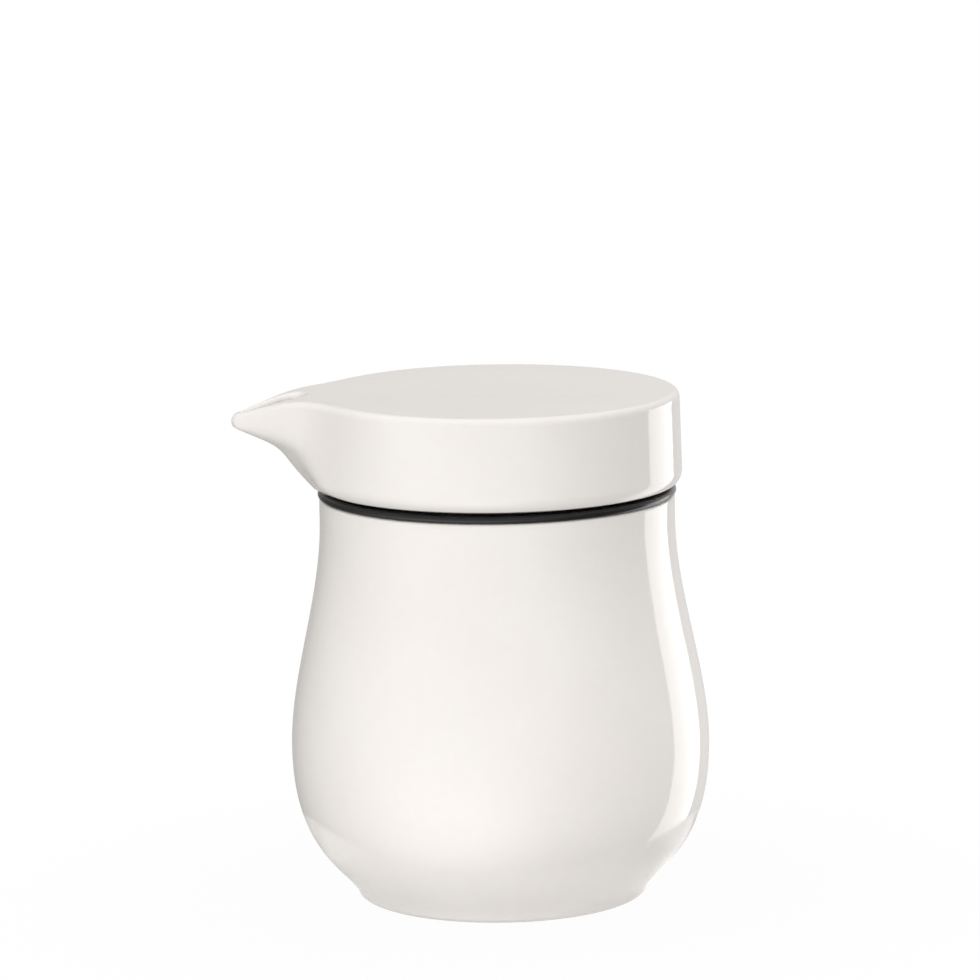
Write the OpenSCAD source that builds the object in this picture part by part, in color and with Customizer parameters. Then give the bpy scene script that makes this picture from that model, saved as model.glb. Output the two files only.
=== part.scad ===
// Sauce jug with a pouring lid. Sizes are in millimetres and angles in degrees.
// The jug stands on z = 0 and its axis is Z. The spout of the lid points along -X.

/* [Jug] */
// Widest diameter of the jug
belly_d = 95; // [80:0.5:120]
// Height of the widest place
belly_h = 35.4; // [30:0.2:44]
// Height over which the belly stays full on the way up
belly_rise = 16.6; // [8:0.2:24]
// Height over which the belly stays full on the way down
belly_fall = 25; // [18:0.2:30]
// Height at which the shoulder ends and the straight neck starts
shoulder_h = 87; // [76:0.5:100]
// Height over which the shoulder bends into the neck
shoulder_bend = 17.5; // [8:0.5:24]
// Outer diameter of the neck
neck_d = 80.5; // [70:0.5:92]
// Length of the straight neck, from the shoulder to the rim
neck_len = 5.6; // [4:0.2:12]
// Radius of the two edges of the rim
rim_edge_r = 0.8; // [0.3:0.1:1.2]
// Wall of the jug
jug_wall = 3.8; // [2.8:0.1:5]
// Thickness of the floor
floor_t = 4.4; // [3:0.1:7]
// Radius of the flat middle of the floor
floor_flat_r = 18; // [8:0.5:22]
// Width of the curve between the flat floor and the wall
floor_curve_w = 14; // [6:0.5:16]

/* [Foot] */
// Diameter of the foot
foot_d = 65.6; // [54:0.2:76]
// How far the side of the foot leans outwards from upright
foot_lean = 20; // [0:1:30]
// Length over which the foot keeps that lean before it flares
foot_rise = 6.4; // [3:0.1:9]
// Height of the foot's rounded lower edge
foot_edge_h = 1.7; // [0.6:0.1:2.2]
// Width of the foot's rounded lower edge
foot_edge_w = 4.7; // [2:0.1:6]
// Width of the flat ring that the jug stands on
foot_flat_w = 2.4; // [1.5:0.1:4]
// Depth of the hollow inside the foot ring
foot_hollow_h = 2.2; // [1:0.1:3]
// Width of the slope from the standing ring up into that hollow
foot_slope_w = 1.6; // [0.5:0.1:3]

/* [Seal] */
// Thickness of the flange between the rim and the lid
seal_t = 1.65; // [1.2:0.05:3.5]
// How far the flange stands out past the neck
seal_proud = 0.35; // [0.2:0.05:1.4]
// Thickness of the sleeve
sleeve_t = 1.2; // [0.8:0.1:1.6]
// Space between the collar of the lid and the bore of the neck, which the seal fills
seal_space = 2.2; // [1.8:0.1:3.5]
// Number of lips around the sleeve
lip_count = 3; // [2:1:4]
// Height of one lip
lip_h = 1.6; // [1:0.1:2.4]
// Plain stretch of the sleeve between two lips, and beyond the first and last one
lip_spacing = 0.8; // [0.4:0.1:1.6]
// Clearance between the lips and the bore of the neck, so that the lid lifts
lip_gap = 0.08; // [0.04:0.01:0.3]
// Radius of the inner bead that holds the seal on the collar
bead_r = 0.9; // [0.5:0.1:1.2]
// Running clearance between the seal and the collar
turn_gap = 0.06; // [0.03:0.01:0.1]

/* [Lid] */
// Height of the lid above the seal
lid_h = 21.95; // [18:0.05:30]
// How far the lid stands out past the neck
lid_overhang = 1.8; // [1:0.1:3]
// How much narrower the radius of the lid is at its top
lid_draft = 0.55; // [0:0.05:1]
// Radius of the top edge, which runs on round the spout
top_edge_r = 1.6; // [0.8:0.1:2.2]
// Radius of the bottom edge
low_edge_r = 4; // [1.5:0.1:5]
// Wall of the lid
lid_wall = 3.8; // [3:0.1:5]
// Thickness of the lid's top
lid_top_t = 4; // [3:0.1:6]
// Thickness of the lid's floor, around the collar
lid_floor_t = 3.4; // [2.5:0.1:5]
// Radius of the corners inside the hollow of the lid
hollow_edge_r = 2; // [0.5:0.1:4]
// Radius of the collar's outer lower edge
collar_edge_r = 0.8; // [0.2:0.1:1.2]
// Wall of the collar that goes into the neck
collar_wall = 3; // [2.4:0.1:4]
// How far the collar goes below the sleeve of the seal
collar_tail = 1.5; // [0.5:0.1:4]

/* [Spout] */
// How far the tip of the spout reaches past the wall of the lid
spout_reach = 18.05; // [12:0.05:24]
// Radius of the tip seen from above
nose_r = 2.5; // [2:0.1:4]
// Angle between the middle of the spout and each of its straight flanks, seen from above
flank_angle = 35.8; // [28:0.1:42]
// Width over which the flanks blend into the round wall of the lid
flank_blend = 5; // [2:0.1:5]
// Width over which the flanks turn into the underside of the spout, half way along it
side_turn = 6; // [3:0.5:8]
// How far inside the wall of the lid the keel starts, at the lower edge
keel_inset = 0.95; // [0.5:0.05:2.5]
// Slope of the keel where it leaves the lid
keel_low_angle = 45.9; // [38:0.1:60]
// Length of the keel that keeps that slope
keel_low_len = 13.9; // [6:0.1:16]
// Slope of the keel at the tip
keel_tip_angle = 21; // [15:0.5:30]
// Length of the keel that keeps the slope of the tip
keel_tip_len = 13.6; // [6:0.1:16]
// Thickness of the lip at the tip
lip_t = 4.1; // [2.6:0.1:5]
// How far inside the wall of the lid the rim starts to fall towards the tip
fall_inset = 1.5; // [0.5:0.1:4]
// Slope of the falling rim
fall_angle = 17.5; // [10:0.5:24]
// Radius of the soft bend where the rim starts to fall
fall_bend_r = 31.5; // [10:0.5:36]
// Wall under the channel of the spout
spout_wall = 3.2; // [2.4:0.1:4]
// Angle over which the channel widens into the hollow of the lid
channel_fade = 9.5; // [6:0.1:11]
// Roundness of the end of the channel
channel_softness = 1.5; // [0.5:0.1:3]
// How far the channel's own outline starts inside the hollow of the lid
channel_root = 4; // [3:0.1:8]
// Height of the sill between the lid's floor and the channel
sill_h = 0.5; // [0.2:0.1:2]
// How far past the wall of the lid the middle of the mouth's rounded inner end lies
mouth_out = 6.95; // [4:0.05:8]
// Radius of the mouth's rounded inner end
mouth_r = 5.6; // [4:0.1:6.5]
// Thickness of the top over the inner end of the mouth
lintel_t = 3.2; // [2:0.1:5]

/* [Hidden] */
$fn = 96;
glaze_color = "#ECE8E0";
silicone_color = "#1C1C1C";
curve_steps = 14;
arc_steps = 6;
// How far a cutting shape runs past the surface that it opens
cut_past = 3;

belly_r = belly_d / 2;
foot_r = foot_d / 2;
neck_r = neck_d / 2;
bore_r = neck_r - jug_wall;
rim_h = shoulder_h + neck_len;
floor_h = foot_hollow_h + floor_t;

collar_r = bore_r - seal_space;
seal_in_r = collar_r + turn_gap;
sleeve_r = seal_in_r + sleeve_t;
lip_r = bore_r - lip_gap;
flange_r = neck_r + seal_proud;
lip_pitch = lip_h + lip_spacing;
sleeve_len = lip_count * lip_pitch + lip_spacing;
sleeve_end = rim_h - sleeve_len;
bead_h = rim_h - sleeve_len / 2;
collar_end = sleeve_end - collar_tail;
// The bore stays straight until it is this far below the collar
bore_tail = 1;
bore_end = collar_end - bore_tail;

under_h = rim_h + seal_t;
lid_top = under_h + lid_h;
lid_r = neck_r + lid_overhang;
lid_in_r = lid_r - lid_wall;
collar_in_r = collar_r - collar_wall;
lid_floor_h = under_h + lid_floor_t;
lid_ceiling = lid_top - lid_top_t;
tip_u = lid_r + spout_reach;
fall_start = lid_r - fall_inset;
mouth_u = lid_r + mouth_out;

least_turn = 0.03;
outline_points = 96;
wall_rings = 14;
edge_rings = 4;
// Share of the turn that the outline's points are evenly spread over: the rest crowd round the spout
even_share = 0.22;
// Sizes, as shares of the top's outline, of the rings that follow the falling rim inwards
top_shares = [0.92, 0.84, 0.76];
channel_points = 33;
channel_rings = 14;
channel_half_angle = 26;

function bezier(p, t) =
    pow(1 - t, 3) * p[0] + 3 * pow(1 - t, 2) * t * p[1] + 3 * (1 - t) * t * t * p[2] + pow(t, 3) * p[3];
function bezier_slope(p, t) =
    pow(1 - t, 2) * (p[1] - p[0]) + 2 * (1 - t) * t * (p[2] - p[1]) + t * t * (p[3] - p[2]);
function curve(p, steps) = [for (i = [0 : steps]) bezier(p, i / steps)];
function arc(center, rx, ry, from, to) =
    [for (i = [0 : arc_steps])
        let (a = from + (to - from) * i / arc_steps)
        center + [rx * cos(a), ry * sin(a)]];

// The jug: one turned profile, up the outside and down the inside.
// The rounded lower edge of the foot ends where it leans as its side does.
foot_edge_end = -atan(foot_edge_h / foot_edge_w * tan(foot_lean));
foot_edge = arc([foot_r - foot_edge_w, foot_edge_h], foot_edge_w, foot_edge_h, -90, foot_edge_end);
foot_side = foot_edge[arc_steps];
function jug_outside() = concat(
    foot_edge,
    curve([foot_side, foot_side + foot_rise * [sin(foot_lean), cos(foot_lean)],
           [belly_r, belly_h - belly_fall], [belly_r, belly_h]], curve_steps),
    curve([[belly_r, belly_h], [belly_r, belly_h + belly_rise],
           [neck_r, shoulder_h - shoulder_bend], [neck_r, shoulder_h]], curve_steps),
    arc([neck_r - rim_edge_r, rim_h - rim_edge_r], rim_edge_r, rim_edge_r, 0, 90));

function jug_inside() = let (inner_r = belly_r - jug_wall) concat(
    arc([bore_r + rim_edge_r, rim_h - rim_edge_r], rim_edge_r, rim_edge_r, 90, 180),
    curve([[bore_r, bore_end], [bore_r, bore_end - shoulder_bend],
           [inner_r, belly_h + belly_rise], [inner_r, belly_h]], curve_steps),
    curve([[inner_r, belly_h], [inner_r, belly_h - belly_fall * (belly_h - floor_h) / belly_h],
           [floor_flat_r + floor_curve_w, floor_h], [floor_flat_r, floor_h]], curve_steps),
    [[0, floor_h]]);

function jug_underside() = let (ring_in_r = foot_r - foot_edge_w - foot_flat_w) [
    [0, foot_hollow_h],
    [ring_in_r - foot_slope_w, foot_hollow_h],
    [ring_in_r, 0]];

// Drops each point that repeats the one before it, where two curves meet
function without_repeats(p) = [for (i = [0 : len(p) - 1]) if (i == 0 || norm(p[i] - p[i - 1]) > 0.001) p[i]];

module jug_body() {
    color(glaze_color)
    rotate_extrude()
    polygon(without_repeats(concat(jug_outside(), jug_inside(), jug_underside())));
}

// The seal: a flange with a round edge, and a sleeve with lips outside and one bead inside
function seal_lips() = [
    for (i = [0 : lip_count - 1])
        let (start = rim_h - lip_spacing - i * lip_pitch)
        each [
            [sleeve_r, start],
            [lip_r, start - lip_h / 4],
            [lip_r, start - lip_h / 2],
            [sleeve_r, start - lip_h]]];

module seal_ring() {
    edge_r = seal_t / 2;
    bead_half = sqrt(bead_r * bead_r - turn_gap * turn_gap);
    bead_start = 90 + asin(turn_gap / bead_r);
    color(silicone_color)
    rotate_extrude()
    polygon(concat(
        [[seal_in_r, under_h]],
        arc([flange_r - edge_r, rim_h + edge_r], edge_r, edge_r, 90, -90),
        [[sleeve_r, rim_h]],
        seal_lips(),
        [[sleeve_r, sleeve_end], [seal_in_r, sleeve_end], [seal_in_r, bead_h - bead_half]],
        [for (i = [1 : 2 * arc_steps - 1])
            let (a = 360 - bead_start - (360 - 2 * bead_start) * i / (2 * arc_steps))
            [seal_in_r + turn_gap + bead_r * cos(a), bead_h + bead_r * sin(a)]],
        [[seal_in_r, bead_h + bead_half]]));
}

// The outline of the lid seen from above: its round wall, and a spout with a round nose and straight
// flanks. The angle a is measured from the spout's own direction, -X.
function soft_max(a, b, turn) = max(a, b) + pow(max(turn - abs(a - b), 0), 2) / (4 * turn);

nose_u = tip_u - nose_r;
nose_turn = atan(nose_r * cos(flank_angle) / (nose_u + nose_r * sin(flank_angle)));
function flank_r(a) =
    abs(a) < nose_turn
    ? nose_u * cos(a) + sqrt(nose_r * nose_r - pow(nose_u * sin(a), 2))
    : (nose_u * sin(flank_angle) + nose_r) / sin(min(abs(a) + flank_angle, 90));
function plan_r(a) = soft_max(lid_r, flank_r(a), flank_blend);

// How far the wall of the lid stands in at the height h above its lower edge
function low_edge_inset(h) =
    h >= low_edge_r ? 0 : low_edge_r - sqrt(low_edge_r * low_edge_r - pow(low_edge_r - h, 2));
function wall_inset(h) = lid_draft * h / lid_h + low_edge_inset(h);

// How far the top of the spout has fallen at the distance u from the axis
function rim_fall(u) =
    let (x = u - fall_start, bend = fall_bend_r * sin(fall_angle))
    x <= 0 ? 0
    : x < bend ? fall_bend_r - sqrt(fall_bend_r * fall_bend_r - x * x)
    : fall_bend_r * (1 - cos(fall_angle)) + (x - bend) * tan(fall_angle);
function top_at(u) = lid_top - rim_fall(u);

// The keel, as distance from the axis and height: up from the lid's lower edge, then out to the lip.
// The lip itself rounds off between the keel and the tip.
tip_center_h = top_at(tip_u - top_edge_r) - top_edge_r;
lip_low_r = lip_t - top_edge_r;
keel_end = [tip_u - lip_low_r, tip_center_h] + lip_low_r * [sin(keel_tip_angle), -cos(keel_tip_angle)];
keel_start = [lid_r - keel_inset, under_h];
keel_curve = [
    keel_start,
    keel_start + keel_low_len * [cos(keel_low_angle), sin(keel_low_angle)],
    keel_end - keel_tip_len * [cos(keel_tip_angle), sin(keel_tip_angle)],
    keel_end];
keel = concat(
    curve(keel_curve, curve_steps),
    [[keel_end[0] + (lid_top - keel_end[1]) / tan(keel_tip_angle), lid_top]]);
channel_keel = [for (i = [0 : curve_steps])
    let (t = i / curve_steps, s = bezier_slope(keel_curve, t))
    bezier(keel_curve, t) + spout_wall * [-s[1], s[0]] / norm(s)];
function distance_at(z, line) = lookup(z, [for (p = line) [p[1], p[0]]]);

// The keel, swept round the axis, cuts the spout off from below. The share of the spout in the outline
// is 0 round the lid and 1 at the tip; the wall's insets fade out with it.
lip_turn = 0.55 * lip_low_r;
function eased_min(a, b, turn) = (a + b - norm([a - b, turn])) / 2;
function outer_r(a, z) =
    let (plan = plan_r(a),
         share = (plan - lid_r) / spout_reach,
         side = plan - wall_inset(z - under_h) * (1 - share),
         turn = least_turn + lip_turn * share + side_turn * 4 * share * (1 - share))
    eased_min(side, distance_at(z, keel), turn);

function soft_angle(a, softness) = sqrt(a * a + softness * softness) - softness;
function fade(a, softness, width) = exp(-soft_angle(a, softness) / width);
function channel_r(a, z) =
    let (base = lid_in_r - channel_root)
    base + max(distance_at(z, channel_keel) - base, 0) * fade(a, channel_softness, channel_fade);

function at_angle(a, r, z) = [-r * cos(a), -r * sin(a), z];

outline_angles = [for (i = [0 : outline_points - 1])
    let (s = 2 * i / outline_points - 1)
    180 * (even_share * s + (1 - even_share) * pow(s, 3))];

function wall_ring(share) = [for (a = outline_angles)
    let (edge_h = top_at(outer_r(a, lid_top) * cos(a)) - top_edge_r,
         z = under_h + share * (edge_h - under_h))
    at_angle(a, outer_r(a, z), z)];

// The top edge: the wall's last ring moved in along its own normal, round a quarter circle
function edge_ring(rim, turn) = let (n = len(rim)) [for (i = [0 : n - 1])
    let (t = rim[(i + 1) % n] - rim[(i + n - 1) % n],
         inset = top_edge_r * (1 - cos(turn)),
         across = [-t[1], t[0]] / norm([t[0], t[1]]),
         x = rim[i][0] + inset * across[0],
         y = rim[i][1] + inset * across[1])
    [x, y, top_at(-x) - top_edge_r * (1 - sin(turn))]];
function top_ring(edge, share) = [for (p = edge) [p[0] * share, p[1] * share, top_at(-p[0] * share)]];

// A closed solid through rings of equally many points, which run anticlockwise seen from above
module ring_solid(rings, low_center, high_center) {
    n = len(rings[0]);
    last = (len(rings) - 1) * n;
    low = len(rings) * n;
    sides = [for (j = [0 : len(rings) - 2], i = [0 : n - 1])
        let (a = j * n + i, b = j * n + (i + 1) % n)
        each [[a, a + n, b + n], [a, b + n, b]]];
    ends = [for (i = [0 : n - 1])
        let (k = (i + 1) % n)
        each [[low, i, k], [low + 1, last + k, last + i]]];
    polyhedron([for (ring = rings) each ring, low_center, high_center], concat(sides, ends), convexity = 6);
}

module lid_shell() {
    rim = wall_ring(1);
    edge = edge_ring(rim, 90);
    // The rings of the wall lie closer together near its two edges
    walls = [for (i = [0 : wall_rings]) wall_ring((1 - cos(180 * i / wall_rings)) / 2)];
    edges = [for (i = [1 : edge_rings]) edge_ring(rim, 90 * i / edge_rings)];
    tops = [for (share = top_shares) top_ring(edge, share)];
    ring_solid(concat(walls, edges, tops), [0, 0, under_h], [0, 0, lid_top]);
}

module lid_collar() {
    groove_r = bead_r + turn_gap;
    rotate_extrude()
    polygon(concat(
        [[0, collar_end]],
        arc([collar_r - collar_edge_r, collar_end + collar_edge_r], collar_edge_r, collar_edge_r, -90, 0),
        [for (i = [0 : 2 * arc_steps])
            let (a = 270 - 180 * i / (2 * arc_steps))
            [collar_r + groove_r * cos(a), bead_h + groove_r * sin(a)]],
        [[collar_r, under_h + lid_floor_t / 2], [0, under_h + lid_floor_t / 2]]));
}

module lid_hollow() {
    rotate_extrude()
    polygon(concat(
        [[0, collar_end - cut_past], [collar_in_r, collar_end - cut_past], [collar_in_r, lid_floor_h]],
        arc([lid_in_r - hollow_edge_r, lid_floor_h + hollow_edge_r], hollow_edge_r, hollow_edge_r, -90, 0),
        arc([lid_in_r - hollow_edge_r, lid_ceiling - hollow_edge_r], hollow_edge_r, hollow_edge_r, 0, 90),
        [[0, lid_ceiling]]));
}

// The channel runs from the hollow to the tip and opens upwards, outside the lintel
module spout_channel() {
    start = lid_floor_h + sill_h;
    end = lid_top + cut_past;
    rings = [for (j = [0 : channel_rings])
        let (z = start + (end - start) * j / channel_rings)
        [for (i = [0 : channel_points - 1])
            let (s = 2 * i / (channel_points - 1) - 1, a = channel_half_angle * s * abs(s))
            at_angle(a, channel_r(a, z), z)]];
    difference() {
        ring_solid(rings, [-lid_in_r, 0, start], [-lid_in_r, 0, end]);
        difference() {
            translate([-mouth_u, -lid_r, lid_top - lintel_t])
            cube([mouth_u, 2 * lid_r, lintel_t + 2 * cut_past]);
            translate([-mouth_u, 0, lid_top - lintel_t - cut_past])
            cylinder(r = mouth_r, h = lintel_t + 4 * cut_past);
        }
    }
}

module pouring_lid() {
    color(glaze_color)
    difference() {
        union() {
            lid_shell();
            lid_collar();
        }
        lid_hollow();
        spout_channel();
    }
}

jug_body();
seal_ring();
pouring_lid();
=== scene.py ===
"""Looks of a sauce jug with a pouring lid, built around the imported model.

Shapes are worked out in millimetres and become metres when their mesh is made. The axis of the jug is Z,
it stands on z = 0, and the spout of the lid points along -X.
"""

import math

import bpy
import numpy as np
from mathutils import Matrix, Vector


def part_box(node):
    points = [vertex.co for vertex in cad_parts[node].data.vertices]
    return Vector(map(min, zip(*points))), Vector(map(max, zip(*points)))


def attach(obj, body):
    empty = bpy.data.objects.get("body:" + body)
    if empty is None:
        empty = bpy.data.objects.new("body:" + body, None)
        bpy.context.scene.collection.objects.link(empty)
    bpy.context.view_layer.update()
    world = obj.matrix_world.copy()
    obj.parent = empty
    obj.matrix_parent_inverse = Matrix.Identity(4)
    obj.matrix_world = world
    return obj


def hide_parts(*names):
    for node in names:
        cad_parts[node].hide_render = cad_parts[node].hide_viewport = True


MM = 0.001

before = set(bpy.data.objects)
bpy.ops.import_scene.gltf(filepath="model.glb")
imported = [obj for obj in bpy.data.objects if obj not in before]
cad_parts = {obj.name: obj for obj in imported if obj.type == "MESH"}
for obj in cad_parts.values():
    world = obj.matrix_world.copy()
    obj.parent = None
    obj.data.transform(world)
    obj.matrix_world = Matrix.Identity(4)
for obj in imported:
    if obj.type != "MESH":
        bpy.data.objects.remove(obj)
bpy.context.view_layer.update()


def box_mm(node):
    """Lowest and highest corner of a CAD node, in millimetres."""
    low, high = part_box(node)
    return low / MM, high / MM


# Heights and radii that the boxes of the CAD nodes give
RIM_H = box_mm("jug_body")[1].z
SLEEVE_END = box_mm("seal_ring")[0].z
UNDER_H = box_mm("seal_ring")[1].z
COLLAR_END = box_mm("pouring_lid")[0].z
LID_TOP = box_mm("pouring_lid")[1].z
TIP_U = -box_mm("pouring_lid")[0].x

# Jug
BELLY_R = 47.5
BELLY_H = 35.4
BELLY_RISE = 16.6
BELLY_FALL = 25.0
SHOULDER_H = 87.0
SHOULDER_BEND = 17.5
NECK_R = 40.25
RIM_EDGE_R = 0.8
JUG_WALL = 3.8
FLOOR_H = 6.6
FLOOR_FLAT_R = 18.0
FLOOR_CURVE_W = 14.0
BORE_R = NECK_R - JUG_WALL
BORE_TAIL = 1.0

# Foot
FOOT_R = 32.8
FOOT_LEAN = math.radians(20)
FOOT_RISE = 6.4
FOOT_EDGE_H = 1.7
FOOT_EDGE_W = 4.7
FOOT_FLAT_W = 2.4
FOOT_HOLLOW_H = 2.2
FOOT_SLOPE_W = 1.6
# The glaze is wiped off the foot up to this height
GLAZE_LINE_H = 0.25

# Seal
SEAL_T = UNDER_H - RIM_H
FLANGE_R = NECK_R + 0.35
TURN_GAP = 0.06
COLLAR_R = BORE_R - 2.2
SEAL_IN_R = COLLAR_R + TURN_GAP
SLEEVE_R = SEAL_IN_R + 1.2
LIP_R = BORE_R - 0.08
LIP_COUNT = 3
LIP_H = 1.6
LIP_SPACING = 0.8
LIP_EDGE_R = 0.12
BEAD_R = 0.9
BEAD_H = (RIM_H + SLEEVE_END) / 2

# Lid
LID_R = NECK_R + 1.8
LID_H = LID_TOP - UNDER_H
LID_DRAFT = 0.55
TOP_EDGE_R = 1.6
LOW_EDGE_R = 4.0
LID_IN_R = LID_R - 3.8
LID_CEILING = LID_TOP - 4.0
LID_FLOOR_T = 3.4
LID_FLOOR_H = UNDER_H + LID_FLOOR_T
HOLLOW_EDGE_R = 2.0
COLLAR_IN_R = COLLAR_R - 3.0
COLLAR_EDGE_R = 0.8
# The flat top sags a little in its middle
DISH_DEPTH = 0.25
DISH_R = 34.0

# Spout
SPOUT_REACH = TIP_U - LID_R
NOSE_R = 2.5
FLANK_ANGLE = math.radians(35.8)
FLANK_BLEND = 5.0
SIDE_TURN = 6.0
LEAST_TURN = 0.03
KEEL_INSET = 0.95
KEEL_LOW_ANGLE = 45.9
KEEL_LOW_LEN = 13.9
KEEL_TIP_ANGLE = 21.0
KEEL_TIP_LEN = 13.6
KEEL_EDGE_R = 0.5
# The lid's bottom edge turns as sharp as the keel within this fraction, 1 in 3, of the spout's reach
KEEL_SHARPNESS = 3
LIP_T = 4.1
LIP_LOW_R = LIP_T - TOP_EDGE_R
LIP_TURN = 0.55 * LIP_LOW_R
FALL_START = LID_R - 1.5
FALL_ANGLE = 17.5
FALL_BEND_R = 31.5
SPOUT_WALL = 3.2
CHANNEL_FADE = 9.5
CHANNEL_SOFTNESS = 1.5
CHANNEL_BASE_R = LID_IN_R - 4.0
SILL_H = 0.5
MOUTH_U = LID_R + 6.95
MOUTH_R = 5.6
MOUTH_EDGE_R = 1.25
MOUTH_CORNER_R = 3.0
LINTEL_H = LID_TOP - 3.2
LINTEL_EDGE_R = 1.0

# Fineness of the meshes
TURN_SEGMENTS = 216
CURVE_STEPS = 60
ARC_STEPS = 10
LIP_STEPS = 4
LINE_STEPS = 400
SAME_POINT = 1e-4
ON_AXIS = 1e-6

# The lid's grid, and the steps in which slopes are measured and its points settle on the surface
LID_CELL = 0.6
LID_MARGIN = 2.3 * LID_CELL
SLOPE_TURN = 0.05
SLOPE_RISE = 0.05
SETTLE_ROUNDS = 4
SETTLE_STEP = 0.01
LEAST_SLOPE = 0.25
NORMAL_STEP = 0.03


def bezier(p0, p1, p2, p3, steps=CURVE_STEPS):
    """Points along a cubic curve."""
    t = np.linspace(0, 1, steps + 1)[:, None]
    p0, p1, p2, p3 = (np.array(p, float) for p in (p0, p1, p2, p3))
    return (1 - t) ** 3 * p0 + 3 * (1 - t) ** 2 * t * p1 + 3 * (1 - t) * t**2 * p2 + t**3 * p3


def arc(center, rx, ry, start, end, steps=ARC_STEPS):
    """Points along part of an ellipse, with angles in degrees."""
    a = np.radians(np.linspace(start, end, steps + 1))
    return np.array(center) + np.stack([rx * np.cos(a), ry * np.sin(a)], axis=1)


def joined(*parts):
    """One line through all the parts, with no point twice in a row."""
    line = np.vstack([np.array(part, float).reshape(-1, 2) for part in parts])
    fresh = np.r_[True, np.linalg.norm(np.diff(line, axis=0), axis=1) > SAME_POINT]
    return line[fresh]


def mesh_object(name, vertices, faces):
    """A smooth mesh object from points in millimetres."""
    mesh = bpy.data.meshes.new(name)
    mesh.from_pydata((np.asarray(vertices) * MM).tolist(), [], faces)
    mesh.shade_smooth()
    mesh.update()
    obj = bpy.data.objects.new(name, mesh)
    bpy.context.scene.collection.objects.link(obj)
    return obj


def turned(name, profile, closed=False):
    """A profile of radius and height turned round the axis; it runs anticlockwise round its material."""
    angles = np.linspace(0, 2 * np.pi, TURN_SEGMENTS, endpoint=False)
    circle = np.stack([np.cos(angles), np.sin(angles)], axis=1)
    vertices, rings = [], []
    for radius, height in profile:
        count = 1 if radius < ON_AXIS else TURN_SEGMENTS
        rings.append([len(vertices) + i % count for i in range(TURN_SEGMENTS + 1)])
        vertices.extend((radius * x, radius * y, height) for x, y in circle[:count])
    faces = []
    for low, high in zip(rings, rings[1:] + rings[:1] if closed else rings[1:]):
        for i in range(TURN_SEGMENTS):
            corners = (low[i], low[i + 1], high[i + 1], high[i])
            faces.append(tuple(dict.fromkeys(corners)))
    return mesh_object(name, vertices, faces)


def jug_profile():
    """Out along the underside, up the outside, over the rim and down the inside."""
    ring_in_r = FOOT_R - FOOT_EDGE_W - FOOT_FLAT_W
    inner_r = BELLY_R - JUG_WALL
    inner_fall = BELLY_FALL * (BELLY_H - FLOOR_H) / BELLY_H
    bore_end = COLLAR_END - BORE_TAIL
    edge_end = -math.degrees(math.atan(FOOT_EDGE_H / FOOT_EDGE_W * math.tan(FOOT_LEAN)))
    foot_edge = arc((FOOT_R - FOOT_EDGE_W, FOOT_EDGE_H), FOOT_EDGE_W, FOOT_EDGE_H, -90, edge_end)
    foot_side = foot_edge[-1]
    return joined(
        (0, FOOT_HOLLOW_H),
        bezier(
            (ring_in_r - 2 * FOOT_SLOPE_W, FOOT_HOLLOW_H),
            (ring_in_r - FOOT_SLOPE_W, FOOT_HOLLOW_H),
            (ring_in_r - FOOT_SLOPE_W, 0),
            (ring_in_r, 0),
            ARC_STEPS,
        ),
        foot_edge,
        bezier(
            foot_side,
            foot_side + FOOT_RISE * np.array([math.sin(FOOT_LEAN), math.cos(FOOT_LEAN)]),
            (BELLY_R, BELLY_H - BELLY_FALL),
            (BELLY_R, BELLY_H),
        ),
        bezier(
            (BELLY_R, BELLY_H),
            (BELLY_R, BELLY_H + BELLY_RISE),
            (NECK_R, SHOULDER_H - SHOULDER_BEND),
            (NECK_R, SHOULDER_H),
        ),
        arc((NECK_R - RIM_EDGE_R, RIM_H - RIM_EDGE_R), RIM_EDGE_R, RIM_EDGE_R, 0, 90),
        arc((BORE_R + RIM_EDGE_R, RIM_H - RIM_EDGE_R), RIM_EDGE_R, RIM_EDGE_R, 90, 180),
        bezier(
            (BORE_R, bore_end),
            (BORE_R, bore_end - SHOULDER_BEND),
            (inner_r, BELLY_H + BELLY_RISE),
            (inner_r, BELLY_H),
        ),
        bezier(
            (inner_r, BELLY_H),
            (inner_r, BELLY_H - inner_fall),
            (FLOOR_FLAT_R + FLOOR_CURVE_W, FLOOR_H),
            (FLOOR_FLAT_R, FLOOR_H),
        ),
        (0, FLOOR_H),
    )


def seal_profile():
    """Down the inside with its bead, up the outside with its lips, and round the flange."""
    edge_r = SEAL_T / 2
    bead_turn = math.degrees(math.asin(TURN_GAP / BEAD_R))
    lips = []
    for i in reversed(range(LIP_COUNT)):
        top = RIM_H - LIP_SPACING - i * (LIP_H + LIP_SPACING)
        low_edge = (LIP_R - LIP_EDGE_R, top - LIP_H / 2 + LIP_EDGE_R)
        high_edge = (LIP_R - LIP_EDGE_R, top - LIP_H / 4 - LIP_EDGE_R)
        lips.append((SLEEVE_R, top - LIP_H))
        lips.extend(arc(low_edge, LIP_EDGE_R, LIP_EDGE_R, -60, 0, LIP_STEPS))
        lips.extend(arc(high_edge, LIP_EDGE_R, LIP_EDGE_R, 0, 70, LIP_STEPS))
        lips.append((SLEEVE_R, top))
    return joined(
        (SEAL_IN_R, UNDER_H),
        arc((COLLAR_R, BEAD_H), BEAD_R, BEAD_R, 90 + bead_turn, 270 - bead_turn, 2 * ARC_STEPS),
        (SEAL_IN_R, SLEEVE_END),
        (SLEEVE_R, SLEEVE_END),
        lips,
        (SLEEVE_R, RIM_H),
        arc((FLANGE_R - edge_r, RIM_H + edge_r), edge_r, edge_r, -90, 90, 2 * ARC_STEPS),
    )


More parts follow.
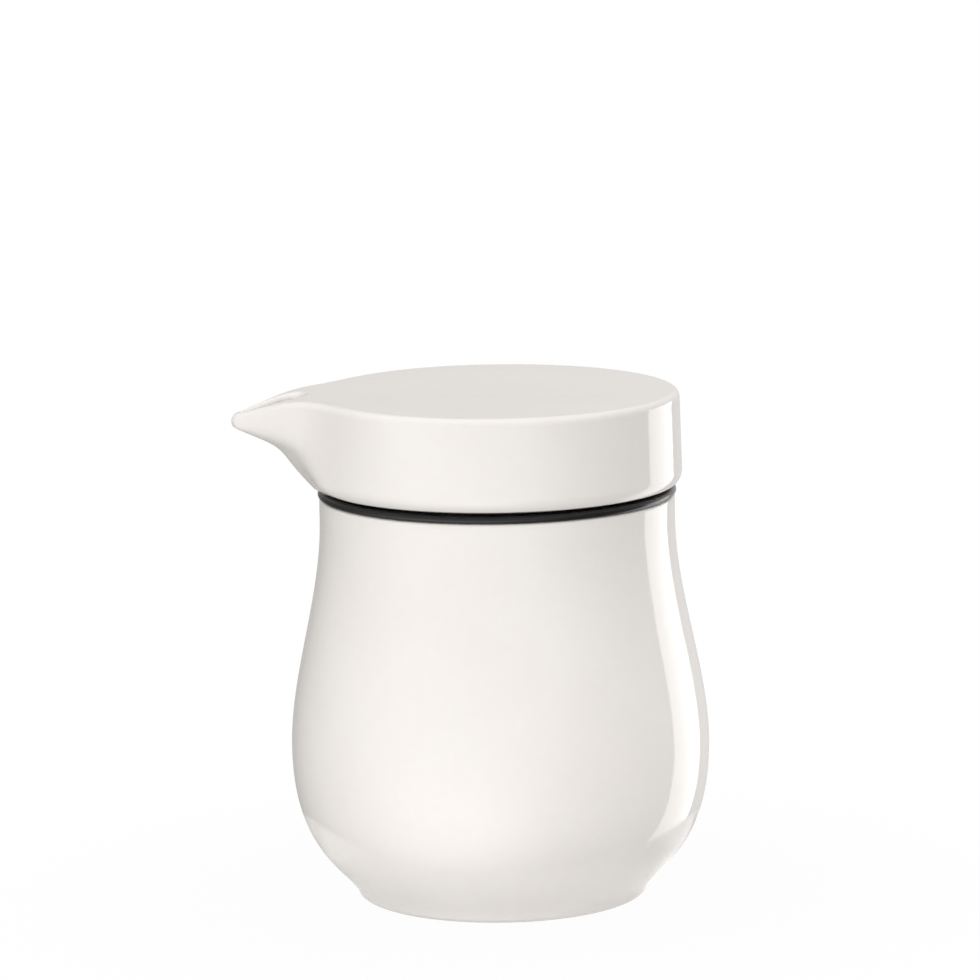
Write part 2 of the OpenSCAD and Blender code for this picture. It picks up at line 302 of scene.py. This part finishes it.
# The lid is a field of signed distances, negative inside the porcelain, so that its edges and
# the spout's joins are as soft as cast and glazed ones
def round_max(a, b, radius):
    """What is inside both, with the edge between them rounded."""
    corner = np.hypot(np.maximum(radius + a, 0), np.maximum(radius + b, 0))
    return np.minimum(-radius, np.maximum(a, b)) + corner


def round_min(a, b, radius):
    """What is inside either, with the corner between them filled round."""
    return -round_max(-a, -b, radius)


def fade(angle, softness, width):
    """1 at angle 0 and less to both sides, with a soft peak."""
    off = np.sqrt(angle * angle + softness * softness) - softness
    return np.exp(-off / width)


def rim_fall(u):
    """How far the top of the spout has fallen at a distance from the axis, and its slope there."""
    x = np.maximum(u - FALL_START, 0)
    turn = math.radians(FALL_ANGLE)
    bend = FALL_BEND_R * math.sin(turn)
    on_bend = np.minimum(x, bend)
    drop = np.sqrt(FALL_BEND_R**2 - on_bend**2)
    straight = np.maximum(x - bend, 0) * math.tan(turn)
    return FALL_BEND_R - drop + straight, on_bend / drop


def soft_limit(distance, limit, turn):
    """The lesser of the two, with a soft turn from one to the other."""
    near = np.maximum(turn - np.abs(distance - limit), 0)
    return np.minimum(distance, limit) - near**2 / (4 * turn)


def eased_limit(distance, limit, turn):
    """The lesser of the two, with a turn that is tight in its middle and eases out far to both sides."""
    return (distance + limit - np.hypot(distance - limit, turn)) / 2


def keel_lines():
    """The spout's keel and the floor of its channel, each as heights and distances from the axis."""
    tip_fall = float(rim_fall(np.array(TIP_U - TOP_EDGE_R))[0])
    tip_center = np.array([TIP_U - LIP_LOW_R, LID_TOP - tip_fall - TOP_EDGE_R])
    low = math.radians(KEEL_LOW_ANGLE)
    tip = math.radians(KEEL_TIP_ANGLE)
    tip_way = np.array([math.cos(tip), math.sin(tip)])
    start = np.array([LID_R - KEEL_INSET, UNDER_H])
    end = tip_center + LIP_LOW_R * np.array([math.sin(tip), -math.cos(tip)])
    curve = bezier(
        start,
        start + KEEL_LOW_LEN * np.array([math.cos(low), math.sin(low)]),
        end - KEEL_TIP_LEN * tip_way,
        end,
        LINE_STEPS,
    )
    keel = joined(curve, end + tip_way * (LID_TOP - end[1]) / tip_way[1])
    way = np.gradient(curve, axis=0)
    across = np.stack([-way[:, 1], way[:, 0]], axis=1) / np.linalg.norm(way, axis=1)[:, None]
    floor = curve + SPOUT_WALL * across
    return (keel[:, 1], keel[:, 0]), (floor[:, 1], floor[:, 0])


KEEL, CHANNEL_FLOOR = keel_lines()


def flank_radius(angle):
    """The spout seen from above, with a round nose and straight flanks, as distance from the axis."""
    a = np.radians(np.abs(angle))
    nose_u = TIP_U - NOSE_R
    nose_turn = math.atan(
        NOSE_R * math.cos(FLANK_ANGLE) / (nose_u + NOSE_R * math.sin(FLANK_ANGLE))
    )
    nose = nose_u * np.cos(a) + np.sqrt(np.maximum(NOSE_R**2 - (nose_u * np.sin(a)) ** 2, 0))
    flank = (nose_u * math.sin(FLANK_ANGLE) + NOSE_R) / np.sin(np.minimum(a + FLANK_ANGLE, math.pi / 2))
    return np.where(a < nose_turn, nose, flank)


def plan_radius(angle):
    """The outline of the lid seen from above, and the spout's share in it."""
    plan = -soft_limit(-LID_R, -flank_radius(angle), FLANK_BLEND)
    return plan, (plan - LID_R) / SPOUT_REACH


def lid_radius(angle, z):
    """Distance of the lid's outside from the axis. The keel, swept round, cuts off the spout from below."""
    plan, share = plan_radius(angle)
    inset = LID_DRAFT * (z - UNDER_H) / LID_H * (1 - share)
    turn = LEAST_TURN + LIP_TURN * share + SIDE_TURN * 4 * share * (1 - share)
    return eased_limit(plan - inset, np.interp(z, *KEEL), turn)


def channel_radius(angle, z):
    """Distance of the channel's wall from the axis."""
    reach = np.maximum(np.interp(z, *CHANNEL_FLOOR) - CHANNEL_BASE_R, 0)
    return CHANNEL_BASE_R + reach * fade(angle, CHANNEL_SOFTNESS, CHANNEL_FADE)


def outline_distance(radius, r, angle, z):
    """Distance, about, to a surface that is given as its radius at each angle and height."""
    at = radius(angle, z)
    around = radius(angle + SLOPE_TURN, z) - radius(angle - SLOPE_TURN, z)
    around = around / math.radians(2 * SLOPE_TURN)
    upward = (radius(angle, z + SLOPE_RISE) - radius(angle, z - SLOPE_RISE)) / (2 * SLOPE_RISE)
    return (r - at) / np.sqrt(1 + upward**2 + (around / at) ** 2)


def lid_field(x, y, z):
    """Signed distance, about, to the surface of the lid."""
    u = -x
    r = np.hypot(x, y)
    angle = np.degrees(np.arctan2(y, u))

    side = outline_distance(lid_radius, r, angle, z)
    fall, slope = rim_fall(u)
    dish = DISH_DEPTH * np.maximum(1 - (r / DISH_R) ** 2, 0) ** 2
    top = (z - LID_TOP + fall + dish) / np.sqrt(1 + slope**2)
    shell = round_max(side, top, TOP_EDGE_R)
    # The bottom edge sharpens where the keel runs down to the seal
    near_keel = np.minimum(KEEL_SHARPNESS * plan_radius(angle)[1], 1)
    shell = round_max(shell, UNDER_H - z, LOW_EDGE_R + (KEEL_EDGE_R - LOW_EDGE_R) * near_keel)

    collar = round_max(r - COLLAR_R, COLLAR_END - z, COLLAR_EDGE_R)
    collar = np.maximum(collar, z - UNDER_H - LID_FLOOR_T / 2)
    groove = np.hypot(r - COLLAR_R, z - BEAD_H) - BEAD_R - TURN_GAP
    solid = np.minimum(shell, np.maximum(collar, -groove))

    room = round_max(r - LID_IN_R, z - LID_CEILING, HOLLOW_EDGE_R)
    room = round_max(room, LID_FLOOR_H - z, HOLLOW_EDGE_R)
    bore = np.maximum(r - COLLAR_IN_R, z - LID_FLOOR_H - HOLLOW_EDGE_R)
    hollow = round_min(room, bore, COLLAR_EDGE_R)

    channel = outline_distance(channel_radius, r, angle, z)
    channel = np.maximum(channel, LID_FLOOR_H + SILL_H - z)
    mouth = np.hypot(np.minimum(u - MOUTH_U, 0), y) - MOUTH_R
    lintel = round_max(LINTEL_H - z, -mouth, LINTEL_EDGE_R)
    channel = round_max(channel, -lintel, MOUTH_CORNER_R)
    hollow = round_min(hollow, channel, LINTEL_EDGE_R)
    return round_max(solid, -hollow, MOUTH_EDGE_R)


def field_slope(field, points, step):
    """How the field rises along X, Y and Z at each point."""
    slope = np.empty_like(points)
    for axis in range(3):
        shift = np.zeros(3)
        shift[axis] = step
        slope[:, axis] = (field(*(points + shift).T) - field(*(points - shift).T)) / (2 * step)
    return slope


def surface_net(field, low, high, cell):
    """Points where the field is 0, one in each grid cell that its surface crosses, and their quads."""
    axes = [np.arange(a, b + cell, cell) for a, b in zip(low, high)]
    value = field(*np.meshgrid(*axes, indexing="ij"))
    inside = value < 0
    shape = tuple(n - 1 for n in value.shape)
    total = np.zeros(shape + (3,))
    count = np.zeros(shape, int)
    edges = []
    for axis in range(3):
        first = np.take(value, range(value.shape[axis] - 1), axis)
        second = np.take(value, range(1, value.shape[axis]), axis)
        start = np.argwhere((first < 0) != (second < 0))
        a, b = first[tuple(start.T)], second[tuple(start.T)]
        point = start.astype(float)
        point[:, axis] += a / (a - b)
        others = [(axis + 1) % 3, (axis + 2) % 3]
        inner = np.all([(start[:, o] > 0) & (start[:, o] < shape[o]) for o in others], axis=0)
        start, point = start[inner], point[inner]
        around = []
        for back_first, back_second in ((0, 0), (1, 0), (1, 1), (0, 1)):
            cells = start.copy()
            cells[:, others[0]] -= back_first
            cells[:, others[1]] -= back_second
            around.append(cells)
            np.add.at(total, tuple(cells.T), point)
            np.add.at(count, tuple(cells.T), 1)
        edges.append((around, inside[tuple(start.T)]))
    used = count > 0
    number = np.full(shape, -1)
    number[used] = np.arange(used.sum())
    points = np.array(low) + cell * total[used] / count[used][:, None]
    quads = []
    for around, starts_inside in edges:
        corners = np.stack([number[tuple(cells.T)] for cells in around], axis=1)
        quads.append(np.where(starts_inside[:, None], corners, corners[:, ::-1]))
    for _ in range(SETTLE_ROUNDS):
        slope = field_slope(field, points, SETTLE_STEP)
        points -= (field(*points.T) / np.maximum((slope**2).sum(1), LEAST_SLOPE))[:, None] * slope
    return points, np.vstack(quads)


def make_lid():
    """The lid as a mesh whose normals come from its field."""
    low, high = box_mm("pouring_lid")
    margin = Vector((1, 1, 1)) * LID_MARGIN
    points, quads = surface_net(lid_field, low - margin, high + margin, LID_CELL)
    lid = mesh_object("lid_with_spout", points, quads.tolist())
    slope = field_slope(lid_field, points, NORMAL_STEP)
    normals = slope / np.linalg.norm(slope, axis=1)[:, None]
    lid.data.normals_split_custom_set_from_vertices(normals.tolist())
    return lid


# Linear tones of the glaze, the bare body and the silicone
GLAZE_THIN = (0.83, 0.817, 0.795)
GLAZE_DEEP = (0.80, 0.783, 0.757)
BARE_LIGHT = (0.78, 0.75, 0.70)
BARE_DARK = (0.68, 0.64, 0.58)
SILICONE_DARK = (0.008, 0.008, 0.0085)
SILICONE_DUSTY = (0.014, 0.014, 0.0145)
# Their least and most roughness, and how strongly they mirror
GLAZE_GLOSS = (0.05, 0.085)
GLAZE_IOR = 1.5
BARE_ROUGHNESS = 0.8
SILICONE_GLOSS = (0.13, 0.20)
SILICONE_SPECULAR = 0.28
# Height of their relief, in metres
BODY_WAVES = 0.00022
TURNING_RINGS = 0.0000015
GLAZE_SKIN = 0.000016
BARE_GRAIN = 0.00005
SILICONE_SKIN = 0.000012


def new_material(name):
    """A material with its nodes, its links and its shader."""
    material = bpy.data.materials.new(name)
    material.use_nodes = True
    nodes = material.node_tree.nodes
    return material, nodes, material.node_tree.links, nodes["Principled BSDF"]


def noise(nodes, links, coordinates, scale, detail):
    """Cloudy noise of 0 to 1."""
    texture = nodes.new("ShaderNodeTexNoise")
    texture.inputs["Scale"].default_value = scale
    texture.inputs["Detail"].default_value = detail
    links.new(coordinates, texture.inputs["Vector"])
    return texture.outputs["Fac"]


def math_node(nodes, links, operation, *values):
    """The result of a sum whose values are numbers or sockets."""
    node = nodes.new("ShaderNodeMath")
    node.operation = operation
    for socket, value in zip(node.inputs, values):
        if isinstance(value, (int, float)):
            socket.default_value = value
        else:
            links.new(value, socket)
    return node.outputs[0]


def map_range(nodes, links, value, low, high, to_low, to_high):
    """The value moved softly from one range to another."""
    node = nodes.new("ShaderNodeMapRange")
    node.interpolation_type = "SMOOTHSTEP"
    for name, number in (
        ("From Min", low),
        ("From Max", high),
        ("To Min", to_low),
        ("To Max", to_high),
    ):
        node.inputs[name].default_value = number
    links.new(value, node.inputs["Value"])
    return node.outputs["Result"]


def two_tones(nodes, links, share, first, second, shader):
    """Base colour between two tones."""
    tone = nodes.new("ShaderNodeMix")
    tone.data_type = "RGBA"
    tone.inputs["A"].default_value = (*first, 1)
    tone.inputs["B"].default_value = (*second, 1)
    links.new(share, tone.inputs["Factor"])
    links.new(tone.outputs["Result"], shader.inputs["Base Color"])


def bump(nodes, links, height, distance, under):
    """Relief of a height of 0 to 1 times a distance in metres, over another relief's normals."""
    node = nodes.new("ShaderNodeBump")
    node.inputs["Distance"].default_value = distance
    links.new(height, node.inputs["Height"])
    if under is not None:
        links.new(under, node.inputs["Normal"])
    return node.outputs["Normal"]


def uneven_gloss(nodes, links, clouds, gloss, shader):
    """Roughness between two values, as the middle of the clouds goes."""
    rough = map_range(nodes, links, clouds, low=0.3, high=0.7, to_low=gloss[0], to_high=gloss[1])
    links.new(rough, shader.inputs["Roughness"])


def porcelain():
    """Warm white porcelain under a clear gloss glaze."""
    material, nodes, links, shader = new_material("glazed_porcelain")
    place = nodes.new("ShaderNodeTexCoord").outputs["Object"]

    # Thicker glaze is a little warmer and darker, in soft clouds with a finer mottle in them
    clouds = noise(nodes, links, place, scale=26, detail=4)
    mottle = noise(nodes, links, place, scale=420, detail=2)
    mottle_share = 0.3
    glaze_depth = math_node(nodes, links, "MULTIPLY_ADD", mottle, mottle_share, clouds)
    glaze_depth = map_range(nodes, links, glaze_depth, low=0.35, high=0.95, to_low=0, to_high=1)
    two_tones(nodes, links, glaze_depth, GLAZE_THIN, GLAZE_DEEP, shader)

    # Slow waves of the cast body, then faint rings from turning it, then the skin of the glaze
    waves = noise(nodes, links, place, scale=32, detail=1)
    normal = bump(nodes, links, waves, BODY_WAVES, None)
    rings = nodes.new("ShaderNodeTexWave")
    rings.bands_direction = "Z"
    rings.inputs["Scale"].default_value = 110
    rings.inputs["Distortion"].default_value = 2.5
    rings.inputs["Detail"].default_value = 2
    rings.inputs["Detail Scale"].default_value = 0.4
    links.new(place, rings.inputs["Vector"])
    normal = bump(nodes, links, rings.outputs["Fac"], TURNING_RINGS, normal)
    skin = noise(nodes, links, place, scale=190, detail=1)
    normal = bump(nodes, links, skin, GLAZE_SKIN, normal)
    links.new(normal, shader.inputs["Normal"])

    uneven_gloss(nodes, links, noise(nodes, links, place, scale=60, detail=3), GLAZE_GLOSS, shader)
    shader.inputs["IOR"].default_value = GLAZE_IOR
    return material


def bare_porcelain():
    """The matt, finely ground body where the glaze is wiped off."""
    material, nodes, links, shader = new_material("bare_porcelain")
    place = nodes.new("ShaderNodeTexCoord").outputs["Object"]
    grain = noise(nodes, links, place, scale=1500, detail=4)
    two_tones(nodes, links, grain, BARE_LIGHT, BARE_DARK, shader)
    links.new(bump(nodes, links, grain, BARE_GRAIN, None), shader.inputs["Normal"])
    shader.inputs["Roughness"].default_value = BARE_ROUGHNESS
    return material


def silicone():
    """Satin black silicone."""
    material, nodes, links, shader = new_material("black_silicone")
    place = nodes.new("ShaderNodeTexCoord").outputs["Object"]
    dust = noise(nodes, links, place, scale=300, detail=3)
    two_tones(nodes, links, dust, SILICONE_DARK, SILICONE_DUSTY, shader)
    skin = noise(nodes, links, place, scale=2600, detail=2)
    links.new(bump(nodes, links, skin, SILICONE_SKIN, None), shader.inputs["Normal"])
    uneven_gloss(nodes, links, noise(nodes, links, place, scale=140, detail=2), SILICONE_GLOSS, shader)
    shader.inputs["Specular IOR Level"].default_value = SILICONE_SPECULAR
    return material


def dress(obj, node, body, material):
    """Stands obj in for a CAD node, on the node's body and with its finish."""
    obj.data.materials.append(material)
    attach(obj, body)
    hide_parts(node)


def bare_foot(jug):
    """Gives the ring that the jug stands on its unglazed material."""
    jug.data.materials.append(bare_porcelain())
    for face in jug.data.polygons:
        if face.center.z < GLAZE_LINE_H * MM:
            face.material_index = 1


glaze = porcelain()
jug = turned("jug", jug_profile())
dress(jug, "jug_body", "jug", glaze)
bare_foot(jug)
dress(turned("seal", seal_profile(), True), "seal_ring", "seal", silicone())
dress(make_lid(), "pouring_lid", "lid", glaze)

# Camera: the photograph's, fitted to the outlines of the jug
IMAGE_SIZE = 980
SENSOR_MM = 36
CAMERA_LENS = 240.0
CAMERA_DISTANCE = 1.485
CAMERA_ELEVATION = math.radians(10.96)
CAMERA_ROLL = math.radians(0.83)
TARGET = Vector((0, 0, 0.060))
TARGET_PIXEL = (499.0, 635.1)


def make_camera():
    """A camera that sees the target at its pixel."""
    camera = bpy.data.objects.new("camera", bpy.data.cameras.new("camera"))
    bpy.context.scene.collection.objects.link(camera)
    camera.data.lens = CAMERA_LENS
    camera.data.sensor_width = SENSOR_MM
    back = Vector((0, -math.cos(CAMERA_ELEVATION), math.sin(CAMERA_ELEVATION)))
    aimed = back.to_track_quat("Z", "Y") @ Matrix.Rotation(-CAMERA_ROLL, 3, "Z").to_quaternion()
    focal = CAMERA_LENS / SENSOR_MM * IMAGE_SIZE
    sight = Vector((TARGET_PIXEL[0] - IMAGE_SIZE / 2, IMAGE_SIZE / 2 - TARGET_PIXEL[1], -focal))
    turn = sight.rotation_difference(Vector((0, 0, -1)))
    camera.rotation_mode = "QUATERNION"
    camera.rotation_quaternion = aimed @ turn
    camera.location = TARGET + CAMERA_DISTANCE * back
    bpy.context.scene.camera = camera


# Light of the room: each lobe is a direction, its narrowness and its strength. Only mirrors see the
# low lobes, past the table's edge, and they see no more than MIRROR_MOST of the others
ROOM_TINT = (1.0, 0.975, 0.958)
ROOM_LOBES = (
    ((-0.5, -1.0, 0.1), 2.0, 0.43),
    ((0.0, -1.0, 0.0), 2.0, 0.815),
    ((-1.0, -0.1, 0.1), 2.0, 0.44),
    ((1.0, 0.0, 0.1), 2.0, 0.14),
    ((0.0, 0.0, 1.0), 2.0, 0.78),
    ((-0.2, -0.8, 1.0), 2.0, 0.66),
    ((0.55, 0.8, 0.0), 2.0, 0.97),
)
LOW_LOBES = (
    ((-0.1, -0.9, -0.42), 12.0, 0.69),
    ((-0.75, -0.45, -0.5), 5.0, 1.70),
    ((-0.15, -0.75, -0.65), 5.0, 0.96),
)
MIRROR_MOST = 1.0
# A strip light behind the jug on the right, which ends below what the lid's flat top mirrors
STRIP_ANGLE = math.radians(125.2)
STRIP_DISTANCE = 1.2
STRIP_HEIGHT = -0.45
STRIP_SIZE = (0.70, 1.5)
STRIP_SPREAD = math.radians(120)
STRIP_WATTS = 3.75
# The floor is a hair below the foot. The jug mirrors its round table, and the camera sees it turn white
STAGE_H = -0.00002
STAGE_HALF = 4.0
TABLE_CENTRE = (0.0, 0.024, 0.0)
TABLE_R = 0.069
TABLE_EDGE = 0.006
STAGE_NEAR = 0.04
STAGE_FAR = 0.16
STAGE_VEIL = 0.97
STAGE_TONE = 0.5
# Rings of the table between these radii, and how brightly their left and right halves glow
GLOW_TURN = 0.05
TABLE_GLOW = (
    (((-0.020, -0.010), (0.040, 0.052)), (0.22, 0.40)),
    (((0.040, 0.052), (0.075, 0.095)), (0.46, 0.20)),
    (((0.075, 0.095), (0.140, 0.200)), (0.36, 0.76)),
    (((0.140, 0.200), (0.500, 0.800)), (0.10, 0.0)),
)
# Patches of painted light and painted shade on the table, brighter or darker, which only the glaze's
# reflections see: centre, radius, soft edge and strength
PAINTED_MIRROR_PATCHES = (
    ((0.072, 0.014, 0.0), 0.016, 0.042, 0.74),
    ((-0.066, 0.040, 0.0), 0.020, 0.040, -0.28),
    ((0.005, 0.0, 0.0), 0.036, 0.050, 0.28),
)


def ray_kind(nodes, links, *kinds):
    """1 for a ray of one of these kinds, and 0 for the rest."""
    path = nodes.new("ShaderNodeLightPath")
    total = path.outputs[kinds[0]]
    for kind in kinds[1:]:
        total = math_node(nodes, links, "MAXIMUM", total, path.outputs[kind])
    return total


def mix_shaders(nodes, links, share, first, second):
    """The first shader, with a share of the second."""
    node = nodes.new("ShaderNodeMixShader")
    links.new(share, node.inputs[0])
    links.new(first, node.inputs[1])
    links.new(second, node.inputs[2])
    return node.outputs[0]


def distance_from(nodes, links, place, centre):
    """How far a place is from a centre."""
    node = nodes.new("ShaderNodeVectorMath")
    node.operation = "DISTANCE"
    links.new(place, node.inputs[0])
    node.inputs[1].default_value = centre
    return node.outputs["Value"]


def make_floor():
    """A white floor to the camera, and to the jug a round table that is also lit from below."""
    ways = ((-1, -1), (1, -1), (1, 1), (-1, 1))
    corners = [(x * STAGE_HALF, y * STAGE_HALF, STAGE_H) for x, y in ways]
    floor = mesh_object("floor", np.array(corners) / MM, [(0, 1, 2, 3)])
    material = bpy.data.materials.new("floor")
    material.use_nodes = True
    nodes = material.node_tree.nodes
    links = material.node_tree.links
    nodes.clear()
    output = nodes.new("ShaderNodeOutputMaterial")

    place = nodes.new("ShaderNodeTexCoord").outputs["Object"]
    away = distance_from(nodes, links, place, (0, 0, 0))
    sides = nodes.new("ShaderNodeSeparateXYZ")
    links.new(place, sides.inputs[0])

    paint = nodes.new("ShaderNodeBsdfDiffuse")
    paint.inputs["Color"].default_value = (STAGE_TONE, STAGE_TONE, STAGE_TONE, 1)
    white = nodes.new("ShaderNodeEmission")
    seen = ray_kind(nodes, links, "Is Camera Ray", "Is Transmission Ray")
    veil = map_range(nodes, links, away, STAGE_NEAR, STAGE_FAR, STAGE_VEIL, 1)
    veil = math_node(nodes, links, "MULTIPLY", veil, seen)
    table = mix_shaders(nodes, links, veil, paint.outputs[0], white.outputs[0])

    glow = nodes.new("ShaderNodeEmission")
    glow.inputs["Color"].default_value = (*ROOM_TINT, 1)
    level = 0.0
    for (start, end), strengths in TABLE_GLOW:
        ring = math_node(
            nodes,
            links,
            "MULTIPLY",
            map_range(nodes, links, away, *start, 0, 1),
            map_range(nodes, links, away, *end, 1, 0),
        )
        strength = map_range(nodes, links, sides.outputs["X"], -GLOW_TURN, GLOW_TURN, *strengths)
        level = math_node(nodes, links, "MULTIPLY_ADD", ring, strength, level)
    bounced = ray_kind(nodes, links, "Is Diffuse Ray", "Is Glossy Ray")
    glossy = ray_kind(nodes, links, "Is Glossy Ray")
    level = math_node(nodes, links, "MULTIPLY", level, bounced)
    # Painted light and painted shade for the glaze's reflections: patches of the table that only mirrored
    # rays see brighter or darker
    for centre, radius, outer, strength in PAINTED_MIRROR_PATCHES:
        off = distance_from(nodes, links, place, centre)
        patch = map_range(nodes, links, off, radius, outer, strength, 0)
        level = math_node(nodes, links, "MULTIPLY_ADD", patch, glossy, level)
    links.new(level, glow.inputs["Strength"])
    both = nodes.new("ShaderNodeAddShader")
    links.new(table, both.inputs[0])
    links.new(glow.outputs[0], both.inputs[1])
    table = both.outputs[0]

    # Mirrored rays see past the table's edge, and nothing sees the floor from below
    clear = nodes.new("ShaderNodeBsdfTransparent")
    off = distance_from(nodes, links, place, TABLE_CENTRE)
    past_table = map_range(nodes, links, off, TABLE_R, TABLE_R + TABLE_EDGE, 0, 1)
    past_table = math_node(nodes, links, "MULTIPLY", past_table, glossy)
    below = nodes.new("ShaderNodeNewGeometry").outputs["Backfacing"]
    unseen = math_node(nodes, links, "MAXIMUM", past_table, below)
    links.new(mix_shaders(nodes, links, unseen, table, clear.outputs[0]), output.inputs["Surface"])
    floor.data.materials.append(material)


def softbox(name, place, width, height, spread, watts):
    """An upright light that faces the axis, which the pieces mirror without being lit by it."""
    light = bpy.data.lights.new(name, "AREA")
    light.shape = "RECTANGLE"
    light.size = width
    light.size_y = height
    light.energy = watts
    light.spread = spread
    lamp = bpy.data.objects.new(name, light)
    bpy.context.scene.collection.objects.link(lamp)
    lamp.visible_diffuse = False
    lamp.location = place
    lamp.rotation_mode = "QUATERNION"
    lamp.rotation_quaternion = Vector((place[0], place[1], 0)).to_track_quat("Z", "Y")


def lobe_sum(nodes, links, way, lobes):
    """Soft light from some directions."""
    level = 0.0
    for direction, power, strength in lobes:
        dot = nodes.new("ShaderNodeVectorMath")
        dot.operation = "DOT_PRODUCT"
        links.new(way, dot.inputs[0])
        dot.inputs[1].default_value = Vector(direction).normalized()
        lobe = math_node(nodes, links, "MAXIMUM", dot.outputs["Value"], 0.0)
        lobe = math_node(nodes, links, "POWER", lobe, power)
        level = math_node(nodes, links, "MULTIPLY_ADD", lobe, strength, level)
    return level


def make_world():
    """A white studio with a few wide, soft lobes of light, and plain white to the camera."""
    world = bpy.data.worlds.new("studio")
    world.use_nodes = True
    nodes = world.node_tree.nodes
    links = world.node_tree.links
    way = nodes.new("ShaderNodeTexCoord").outputs["Generated"]
    level = lobe_sum(nodes, links, way, ROOM_LOBES)
    # Mirrored rays see the room without glare, and what lies lower than the table
    capped = math_node(nodes, links, "MINIMUM", level, MIRROR_MOST)
    glare = math_node(nodes, links, "SUBTRACT", level, capped)
    glare = math_node(nodes, links, "MULTIPLY", glare, ray_kind(nodes, links, "Is Glossy Ray"))
    level = math_node(nodes, links, "SUBTRACT", level, glare)
    level = math_node(nodes, links, "ADD", level, lobe_sum(nodes, links, way, LOW_LOBES))
    room = nodes["Background"]
    room.inputs["Color"].default_value = (*ROOM_TINT, 1)
    links.new(level, room.inputs["Strength"])
    white = nodes.new("ShaderNodeBackground")
    white.inputs["Color"].default_value = (1, 1, 1, 1)
    seen = ray_kind(nodes, links, "Is Camera Ray")
    surface = mix_shaders(nodes, links, seen, room.outputs[0], white.outputs[0])
    links.new(surface, nodes["World Output"].inputs["Surface"])
    bpy.context.scene.world = world


make_camera()
make_floor()
make_world()
strip_place = (
    STRIP_DISTANCE * math.sin(STRIP_ANGLE),
    -STRIP_DISTANCE * math.cos(STRIP_ANGLE),
    STRIP_HEIGHT,
)
softbox("strip_softbox", strip_place, *STRIP_SIZE, STRIP_SPREAD, STRIP_WATTS)

bpy.context.scene.view_settings.view_transform = "Standard"
